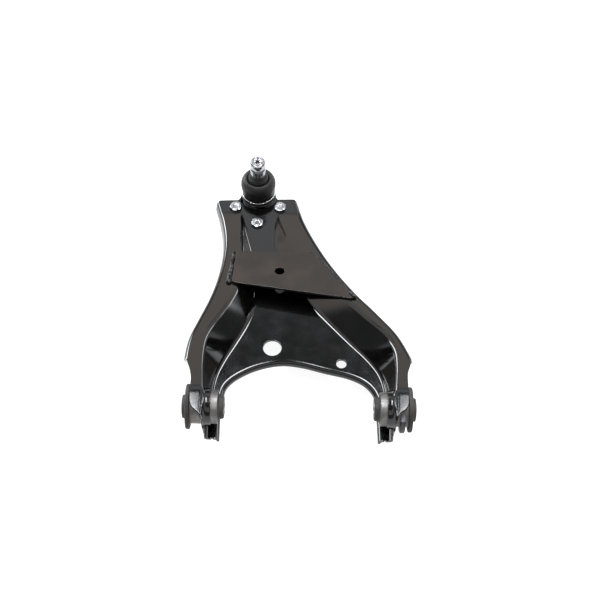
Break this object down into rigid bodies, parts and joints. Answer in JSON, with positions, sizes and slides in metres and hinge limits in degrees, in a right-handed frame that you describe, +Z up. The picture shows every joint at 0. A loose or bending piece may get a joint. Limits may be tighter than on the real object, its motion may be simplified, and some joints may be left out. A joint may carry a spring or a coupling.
{
  "type": "suspension control arm",
  "caption": "Pressed-steel wishbone with two horizontal pivot bushes, a welded bridge plate and a bolted ball joint with an upright stud.",
  "frame": {"origin": "midway between the two bushes, on their common pivot axis", "axes": "+X along the pivot axis towards the right-hand bush, +Y from the pivot axis towards the ball joint, +Z up along the ball stud"},
  "size_m": [0.2435, 0.3511, 0.0819],
  "materials": {
    "black_pressing": "gloss black electro-coat",
    "black_plate": "gloss black electro-coat",
    "painted_weld": "satin black electro-coat over weld",
    "bare_sleeve": "dull bare steel",
    "bush_rubber": "matte dark grey rubber",
    "tube_steel": "turned steel",
    "forged_housing": "satin black paint",
    "cap_steel": "pressed steel",
    "seat_plastic": "acetal seat",
    "polished_stud": "bright ground steel",
    "boot_rubber": "matte black rubber",
    "ring_wire": "bright steel wire",
    "ring_rubber": "black rubber-coated spring",
    "zinc_bolt": "bright zinc plate"
  },
  "bodies": {
    "arm": {"main_pressing": "black_pressing", "bridge_plate": "black_plate", "bridge_weld_left": "painted_weld", "bridge_weld_right": "painted_weld", "left_bush_sleeve": "bare_sleeve", "left_bush_rubber": "bush_rubber", "right_bush_sleeve": "bare_sleeve", "right_bush_rubber": "bush_rubber", "ball_joint_housing": "forged_housing", "ball_joint_end_cap": "cap_steel", "ball_seat": "seat_plastic", "boot_lower_ring": "ring_wire", "ball_joint_bolts": "zinc_bolt", "ball_joint_washers": "zinc_bolt", "ball_joint_nuts": "zinc_bolt"},
    "left_tube": {"left_inner_tube": "tube_steel"},
    "right_tube": {"right_inner_tube": "tube_steel"},
    "boot_body": {"boot": "boot_rubber"},
    "boot_lip": {"boot_upper_ring": "ring_rubber"},
    "stud": {"ball_stud": "polished_stud"}
  },
  "joints": [
    {"name": "left_bush_twist", "type": "hinge", "parent": "arm", "child": "left_tube", "pos_m": [-0.0985, 0, 0], "axis": [1, 0, 0], "range_deg": [-25, 25], "stiffness_Nm_per_rad": 40},
    {"name": "right_bush_twist", "type": "hinge", "parent": "arm", "child": "right_tube", "pos_m": [0.0985, 0, 0], "axis": [1, 0, 0], "range_deg": [-25, 25], "stiffness_Nm_per_rad": 40},
    {"name": "stud_swing_fore_aft", "type": "hinge", "parent": "arm", "child": "boot_body", "pos_m": [-0.0522, 0.305, -0.029], "axis": [1, 0, 0], "range_deg": [-20, 20], "deforming": ["boot"]},
    {"name": "stud_swing_sideways", "type": "hinge", "parent": "boot_body", "child": "boot_lip", "pos_m": [-0.0522, 0.305, -0.029], "axis": [0, 1, 0], "range_deg": [-20, 20]},
    {"name": "stud_spin", "type": "hinge", "parent": "boot_lip", "child": "stud", "pos_m": [-0.0522, 0.305, -0.029], "axis": [0, 0, 1], "continuous": true}
  ]
}
